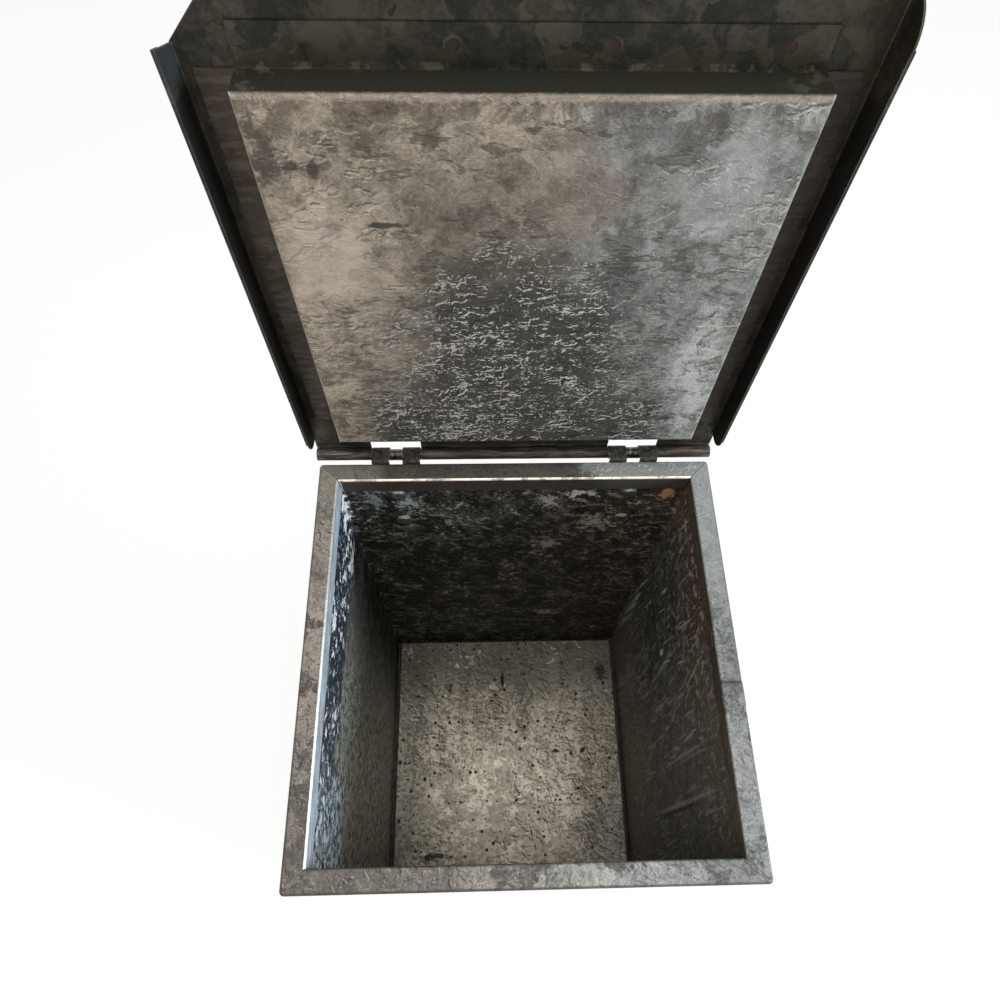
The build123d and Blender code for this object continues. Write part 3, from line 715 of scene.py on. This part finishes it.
# A painted shadow under each head.
under = ramp(tree, row, middle - 0.0033, middle - 0.0048)
colour = tint(tree, film, (0.022, 0.022, 0.017, 1), (0.10, 0.096, 0.078, 1))
colour = lay(
    tree,
    colour,
    (head_highlight, 0.75, (0.34, 0.335, 0.29)),
    (under, 0.8, (0.006, 0.006, 0.005)),
)
rough = ramp(tree, film, 0.0, 1.0, 0.6, 0.42)
finish(tree, shader, colour, rough, film, 0.0003, metal=0.4)
dress(rivet_steel, "hinge_rivets")

# ---------------------------------------------------------------- hinge pin
# One drawn steel rod through the whole barrel and both pairs of knuckles. Turning in them has left
# it polished in fine rings, with brown between.
wire_steel, tree, shader, place = new_material("wire_steel")
rings = noise(tree, stretch(tree, place, (1.0, 0.3, 0.3)), 420.0, 4.0, 0.65)
brown, polished = (0.06, 0.050, 0.042, 1), (0.42, 0.38, 0.33, 1)
colour = tint(tree, ramp(tree, rings, 0.35, 0.7), brown, polished)
rough = ramp(tree, rings, 0.3, 0.7, 0.42, 0.26)
finish(tree, shader, colour, rough, rings, 0.0003, metal=0.85)
dress(wire_steel, "hinge_pin")

# ---------------------------------------------------------------- lid cover
# One galvanized sheet gone dark, with hemmed skirts and a barrel rolled in its back edge. Its
# patterns are laid out in the shut lid's own frame, whose origin is on the hinge pin.
lid_joint = frame["joints"][0]
open_angle = radians(lid_joint["range_deg"][1])


def lid_place(tree, place):
    """Turns the coordinates of the open lid into those of the shut lid about its pin."""
    values = {"Vector": place, "Location": lid_joint["pos_m"], "Rotation": (-open_angle, 0.0, 0.0)}
    return add(tree, "Mapping", values, vector_type="TEXTURE").outputs[0]


def camouflage(tree, place, seed):
    """Dark zinc in crisp patches of two tones, with a fine grain: its colour, tone and grain."""
    large = crystals(tree, place, 0.017, 0.6, seed)
    small = crystals(tree, place, 0.007, 0.7, seed + 4.0)
    grain = grit(tree, place, 330.0, 4.0, 0.7)
    smear = grit(tree, place, 75.0, 5.0, 0.7)
    crisp = ramp(tree, weigh(tree, (large["Tone"], 0.75), (small["Tone"], 0.35)), 0.49, 0.63)
    tone = weigh(tree, (crisp, 0.20), (large["Tone"], 0.28), (smear, 0.34), (grain, 0.18))
    green, brown = (0.010, 0.011, 0.006, 1), (0.053, 0.043, 0.029, 1)
    return tint(tree, ramp(tree, tone, 0.15, 0.9), green, brown), tone, grain


cover_zinc, tree, shader, place = new_material("cover_zinc")
place = lid_place(tree, place)
x, y, z = add(tree, "SeparateXYZ", {0: place}).outputs
colour, tone, grain = camouflage(tree, place, 13.0)
rubbed = rub(tree, place, 0.0009)
barrel = ramp(tree, y, -0.0055, -0.0045)
pulled = grit(tree, stretch(tree, place, (0.10, 1.0, 1.0)), 520.0, 4.0, 0.65)
# Painted shade on the inner faces of the skirts, less at the left front end, where it turns a
# lighter blue-grey.
skirt_faces = (0.1270, 0.1291)
skirt_shade = band(tree, calculate(tree, "ABSOLUTE", x), *skirt_faces, 0.0002)
skirt_shade = product(tree, ramp(tree, z, 0.0022, 0.0010), skirt_shade)
front_end = ramp(tree, y, -0.236, -0.242)
end_left = product(tree, skirt_shade, front_end, ramp(tree, x, 0.01, 0.0))
skirt_shade = product(tree, skirt_shade, ramp(tree, y, -0.240, -0.232))
colour = lay(
    tree,
    colour,
    (skirt_shade, 0.85, (0.009, 0.009, 0.007)),
    (end_left, 0.3, (0.060, 0.072, 0.088)),
    (barrel, 0.85, (0.040, 0.031, 0.025)),
    (barrel, ramp(tree, pulled, 0.30, 1.0), 0.6, (0.150, 0.125, 0.108)),
    (rubbed, 0.35, (0.20, 0.175, 0.14)),
)
waves = noise(tree, place, 26.0, 3.0)
height = weigh(tree, (waves, 1.0), (grain, 0.03), (product(tree, pulled, barrel), 0.1))
rolled_smooth = ramp(tree, barrel, 0.0, 1.0, 1.0, 0.62)
rough = product(tree, polish(tree, tone, 0.62, 0.46), rolled_smooth)
finish(tree, shader, colour, rough, height, 0.0012, metal=0.4)
dress(cover_zinc, "lid_cover")

# ---------------------------------------------------------------- lid pan
# The plug under the cover, folded from one sheet and spot-welded to it by its tabs. Its face is
# brighter than the rest, scuffed and stained, and its folded edges are rubbed pale, with a painted
# highlight; the tabs and walls have gone as dark as the cover.
half_plug = 0.108
plug_face = -0.0148
weld_row = -0.2511
weld_shares = (-0.81, -0.27, 0.26, 0.85)

# The burnt spot of a weld, with part of a paler ring: a painted highlight on the rim of the weld's
# dent.
weld_mark, given, made = new_group(
    "weld_mark", {"Vector": origin, "Centre": origin}, ("Core", "Ring")
)
away = move(weld_mark, given["Vector"], given["Centre"], "SUBTRACT")
reach = length(weld_mark, stretch(weld_mark, away, (1.0, 1.0, 0.0)))
uneven = noise(weld_mark, given["Vector"], 400.0, 3.0)
reach = weigh(weld_mark, (reach, 1.0), (uneven, 0.0024))
lopsided = ramp(weld_mark, noise(weld_mark, given["Vector"], 110.0, 2.0), 0.48, 0.56)
give(
    weld_mark,
    made,
    Core=ramp(weld_mark, reach, 0.0040, 0.0028),
    Ring=product(weld_mark, band(weld_mark, reach, 0.0039, 0.0047, 0.0005), lopsided),
)

# Bright flecks of bare zinc in a dark film, in loose rows.
flecks, given, made = new_group(
    "bright_flecks", {"Vector": origin, "Scale": 700.0, "Amount": 0.5}, ("Mask",)
)
long_flecks = stretch(flecks, given["Vector"], (0.55, 1.0, 1.0))
long_rows = stretch(flecks, given["Vector"], (0.06, 1.0, 1.0))
grains = noise(flecks, long_flecks, given["Scale"], 2.0, 0.6, 0.8)
drifts = noise(flecks, given["Vector"], product(flecks, given["Scale"], 0.11), 3.0, 0.6)
rows = noise(flecks, long_rows, product(flecks, given["Scale"], 0.3), 2.0)
thick = weigh(flecks, (grains, 1.0), (drifts, 0.45), (rows, 0.25))
fleck_at = calculate(flecks, "SUBTRACT", 1.08, product(flecks, given["Amount"], 0.3))
give(flecks, made, Mask=ramp(flecks, calculate(flecks, "SUBTRACT", thick, fleck_at), 0.0, 0.09))

# The walls and tabs, with four welds along the front tab.
pan_zinc, tree, shader, place = new_material("pan_zinc")
place = lid_place(tree, place)
x, y, z = add(tree, "SeparateXYZ", {0: place}).outputs
to_side = calculate(tree, "ABSOLUTE", x)
dark, tone, grain = camouflage(tree, place, 19.0)
side_tab = ramp(tree, to_side, 0.1072, 0.1082)
front_wall = product(
    tree, ramp(tree, y, -0.2425, -0.2430), ramp(tree, z, 0.0012, 0.0004)
)
grimed = grit(tree, stretch(tree, place, (0.25, 1.0, 1.0)), 330.0, 5.0, 0.7)
crumbs = ramp(tree, noise(tree, place, 90.0, 5.0, 0.7), 0.52, 0.60)
bend = product(
    tree, band(tree, y, -0.2453, -0.2432, 0.0003), crumbs, ramp(tree, z, 0.0, 0.001)
)
wall_ends = ramp(tree, to_side, 0.085, 0.10)
dark = lay(
    tree,
    dark,
    (side_tab, 0.75, (0.050, 0.035, 0.023)),
    (side_tab, ramp(tree, grimed, 0.35, 0.9), 0.55, (0.115, 0.088, 0.062)),
    (side_tab, ramp(tree, x, 0.0, 0.01), 0.55, (0.020, 0.018, 0.012)),
    (front_wall, 0.8, (0.016, 0.018, 0.011)),
    (front_wall, wall_ends, crumbs, 0.4, (0.10, 0.098, 0.085)),
    (bend, 0.4, (0.17, 0.150, 0.12)),
)
on_tab = ramp(tree, z, 0.001, 0.0015)
for share in weld_shares:
    centre = (half_plug * share, weld_row, 0.0)
    weld = use(tree, weld_mark, {"Vector": place, "Centre": centre})
    dark = lay(
        tree,
        dark,
        (weld["Core"], on_tab, 0.7, (0.046, 0.022, 0.014)),
        (weld["Ring"], on_tab, 0.35, (0.15, 0.130, 0.10)),
    )

# The face: warm on the left and cool on the right, with a dark field in the middle that widens
# towards the hinge, fine flecks in it, and scuffs and scars at its sides and front.
to_hinge = ramp(tree, y, -0.21, -0.06)
mottle = grit(tree, place, 75.0, 8.0, 0.78, 0.4)
clouds = noise(tree, place, 13.0, 4.0, 0.6)
fine = grit(tree, stretch(tree, place, (0.6, 1.0, 1.0)), 520.0, 3.0, 0.7)
plates = crystals(tree, place, 0.011, 0.6, 29.0)
face_tone = weigh(
    tree,
    (plates["Tone"], 0.20),
    (plates["Frost"], 0.14),
    (mottle, 0.18),
    (clouds, 0.65),
    (product(tree, fine, to_hinge), 0.22),
    (to_hinge, -0.11),
)
pale = ramp(tree, face_tone, 0.28, 0.86)
warm = tint(tree, pale, (0.085, 0.067, 0.047, 1), (0.43, 0.36, 0.277, 1))
cool = tint(tree, pale, (0.070, 0.068, 0.059, 1), (0.300, 0.298, 0.272, 1))
to_right = ramp(tree, weigh(tree, (x, 1.0), (clouds, 0.06)), 0.025, 0.065)
light = tint(tree, to_right, warm, cool)
field = spot(tree, place, (-0.006, -0.095, plug_face), (0.072, 0.095, 0.05), 0.30, 22.0)
low_band = product(tree, ramp(tree, y, -0.095, -0.060), ramp(tree, to_side, 0.098, 0.074))
field = calculate(tree, "MAXIMUM", field, low_band)
fleck = use(tree, flecks, {"Vector": place, "Scale": 900.0, "Amount": 0.46})["Mask"]
stray_flecks = product(tree, fleck, ramp(tree, y, -0.20, -0.16), ramp(tree, x, -0.07, -0.04))
drawn_out = stretch(tree, place, (0.7, 1.0, 1.0))
leafy = relief(tree, drawn_out, (0.0004, 0.0008, 0.0), 230.0, 0.48)
drawn_further = stretch(tree, place, (0.5, 1.0, 1.0))
blown = relief(tree, drawn_further, (0.0002, 0.0010, 0.0), 140.0, 0.34)
wispy = stretch(tree, place, (0.55, 1.15, 1.0), (0.0, 0.0, radians(6.0)))
strokes = worm(tree, wispy, 110.0, 0.08, 0.45)
hollows = worm(tree, place, 70.0, 0.05, 0.40)
sides = ramp(tree, weigh(tree, (to_side, 1.0), (clouds, 0.03)), 0.050, 0.085)
bright_side = spot(tree, place, (0.093, -0.085, plug_face), (0.015, 0.062, 0.05), 0.3, 40.0)
front_edge = product(tree, ramp(tree, y, -0.218, -0.243), ramp(tree, mottle, 0.9, 0.3))
# Broad faint stains, in x and y, and the darker scars that lie over them.
face_stains = (
    (-0.088, -0.172, 0.024, 0.026, 0.6, 40.0, 0.4, (0.52, 0.43, 0.35)),
    (0.025, -0.205, 0.030, 0.022, 0.6, 40.0, 0.3, (0.36, 0.27, 0.21)),
    (0.080, -0.205, 0.020, 0.028, 0.6, 40.0, 0.3, (0.45, 0.46, 0.44)),
    (-0.005, -0.190, 0.045, 0.045, 0.5, 30.0, 0.3, (0.080, 0.072, 0.058)),
)
face_scars = (
    (0.0435, -0.170, 0.010, 0.030, 1.0, 60.0, 0.55, (0.040, 0.040, 0.034)),
    (-0.060, -0.190, 0.0085, 0.0016, 0.5, 150.0, 0.90, (0.03, 0.026, 0.02)),
    (-0.0925, -0.217, 0.0034, 0.0026, 0.5, 150.0, 0.85, (0.035, 0.03, 0.024)),
    (-0.0843, -0.2155, 0.0030, 0.0042, 0.5, 150.0, 0.85, (0.035, 0.03, 0.024)),
    (-0.101, -0.220, 0.007, 0.016, 1.2, 120.0, 0.75, (0.045, 0.035, 0.026)),
    (0.069, -0.236, 0.0028, 0.006, 0.8, 150.0, 0.70, (0.06, 0.058, 0.052)),
    (0.050, -0.230, 0.012, 0.004, 0.9, 120.0, 0.50, (0.10, 0.10, 0.09)),
)
light = lay(
    tree,
    light,
    (plates["Border"], 0.12, (0.10, 0.09, 0.08)),
    (front_edge, 0.6, (0.085, 0.062, 0.042)),
    (strokes, 0.65, (0.065, 0.055, 0.043)),
    (blown["Dark"], sides, 0.75, (0.060, 0.052, 0.042)),
    (blown["Pale"], sides, 0.40, (0.60, 0.54, 0.46)),
    (bright_side, ramp(tree, mottle, 0.1, 0.6), 0.6, (0.58, 0.565, 0.53)),
    (hollows, 0.35, (0.12, 0.105, 0.09)),
    *marks(tree, place, "z", plug_face, 0.05, face_stains),
    (field, 0.93, (0.034, 0.034, 0.028)),
    (field, mottle, to_hinge, 0.45, (0.105, 0.098, 0.085)),
    (field, leafy["Pale"], 0.9, (0.60, 0.565, 0.50)),
    (field, leafy["Dark"], 0.6, (0.010, 0.010, 0.008)),
    (field, fleck, 0.9, (0.66, 0.62, 0.56)),
    (stray_flecks, 0.35, (0.50, 0.47, 0.42)),
    *marks(tree, place, "z", plug_face, 0.05, face_scars),
)

# The whole plug: the face laid over the dark walls, and the folds round it, rubbed pale and with a
# painted highlight.
on_face = ramp(tree, z, -0.0115, -0.0135)
front_fold = product(tree, ramp(tree, y, -0.2416, -0.2424), ramp(tree, z, -0.0124, -0.0136))
side_fold = product(tree, ramp(tree, to_side, 0.1070, 0.1073), ramp(tree, z, -0.0120, -0.0130))
worn = ramp(tree, noise(tree, place, 55.0, 5.0), 0.35, 0.55, 0.45, 1.0)
colour = lay(
    tree,
    tint(tree, on_face, dark, light),
    (front_fold, worn, 0.9, (0.20, 0.165, 0.13)),
    (side_fold, worn, 0.8, (0.40, 0.36, 0.31)),
)
raised = weigh(tree, (mottle, 0.25), (fleck, 0.2), (strokes, -0.25), (blown["Flake"], 0.2))
height = weigh(tree, (product(tree, raised, on_face), 1.0), (grain, 0.05))
finish(tree, shader, colour, polish(tree, tone, 0.55, 0.42), height, 0.0010, metal=0.4)
dress(pan_zinc, "lid_pan")

# ---------------------------------------------------------------- stage
# A pale floor under the box. It glows nearly white to the camera and in the metal, and still
# keeps a faint shadow of the box.
glow_share = 0.82
bpy.ops.object.select_all(action="DESELECT")
bpy.ops.mesh.primitive_plane_add(size=12.0, location=(0.0, 0.0, -0.0005))
floor = bpy.context.object
floor.name = "stage_floor"
bpy.ops.object.transform_apply(location=True)
floor_paint = bpy.data.materials.new("stage_paint")
floor_paint.use_nodes = True
tree = floor_paint.node_tree
tree.nodes.clear()
path = tree.nodes.new("ShaderNodeLightPath").outputs
seen = calculate(tree, "MAXIMUM", path["Is Camera Ray"], path["Is Glossy Ray"])
seen = calculate(tree, "MAXIMUM", seen, path["Is Transmission Ray"])
seen = calculate(tree, "MULTIPLY", seen, glow_share)
matt = add(tree, "BsdfDiffuse", {"Color": (0.85, 0.85, 0.85, 1)}).outputs[0]
glow = add(tree, "Emission", {"Color": (1.0, 1.0, 1.0, 1), "Strength": 1.0}).outputs[0]
both = add(tree, "MixShader", {0: seen, 1: matt, 2: glow}).outputs[0]
add(tree, "OutputMaterial", {"Surface": both})
floor.data.materials.append(floor_paint)

# ---------------------------------------------------------------- light
# An even pale room, a large soft lamp overhead, a cool window low on the right and a warmer
# bounce from the left.
world = bpy.data.worlds.new("room")
bpy.context.scene.world = world
world.use_nodes = True
tree = world.node_tree
tree.nodes.clear()
path = tree.nodes.new("ShaderNodeLightPath").outputs
seen = calculate(tree, "MAXIMUM", path["Is Camera Ray"], path["Is Transmission Ray"])
room = add(tree, "Background", {"Color": (1.0, 0.985, 0.95, 1), "Strength": 0.5}).outputs[0]
white = add(tree, "Background", {"Color": (1.0, 1.0, 1.0, 1), "Strength": 1.0}).outputs[0]
both = add(tree, "MixShader", {0: seen, 1: room, 2: white}).outputs[0]
add(tree, "OutputWorld", {"Surface": both})


def soft_lamp(name, place, aim_height, width, height, power, colour):
    """A rectangular lamp, aimed at the middle of the box at the given height."""
    data = bpy.data.lights.new(name, "AREA")
    data.shape = "RECTANGLE"
    data.size = width
    data.size_y = height
    data.energy = power
    data.color = colour
    lamp = bpy.data.objects.new(name, data)
    bpy.context.scene.collection.objects.link(lamp)
    lamp.location = place
    aim = Vector((0.0, 0.0, aim_height)) - Vector(place)
    lamp.rotation_euler = aim.to_track_quat("-Z", "Y").to_euler()


soft_lamp("ceiling", (0.03, -0.18, 2.2), 0.3, 0.9, 0.9, 30.0, (1.0, 0.98, 0.95))
soft_lamp("window", (1.5, -0.35, 0.85), 0.3, 0.8, 0.7, 34.0, (0.76, 0.88, 1.0))
soft_lamp("bounce", (-1.4, -0.6, 1.2), 0.4, 1.0, 1.0, 6.0, (1.0, 0.90, 0.80))

# ---------------------------------------------------------------- camera
# Held above the front rim by hand and looking down into the open box, turned and rolled a little
# to the side.
camera_place = (-0.01947, -0.12208, 0.76269)
turned, raised, rolled = radians(-3.847), radians(24.444), radians(2.789)
camera_data = bpy.data.cameras.new("camera")
camera_data.sensor_width = 36.0
camera_data.lens = 26.153
camera_data.shift_x = -0.0066
camera_data.shift_y = 0.0510
camera_data.clip_start = 0.01
camera = bpy.data.objects.new("camera", camera_data)
bpy.context.scene.collection.objects.link(camera)
turn = Matrix.Rotation(turned, 4, "Z") @ Matrix.Rotation(raised, 4, "X")
turn = turn @ Matrix.Rotation(rolled, 4, "Z")
camera.matrix_world = Matrix.Translation(camera_place) @ turn
bpy.context.scene.camera = camera
bpy.context.scene.view_settings.view_transform = "Standard"
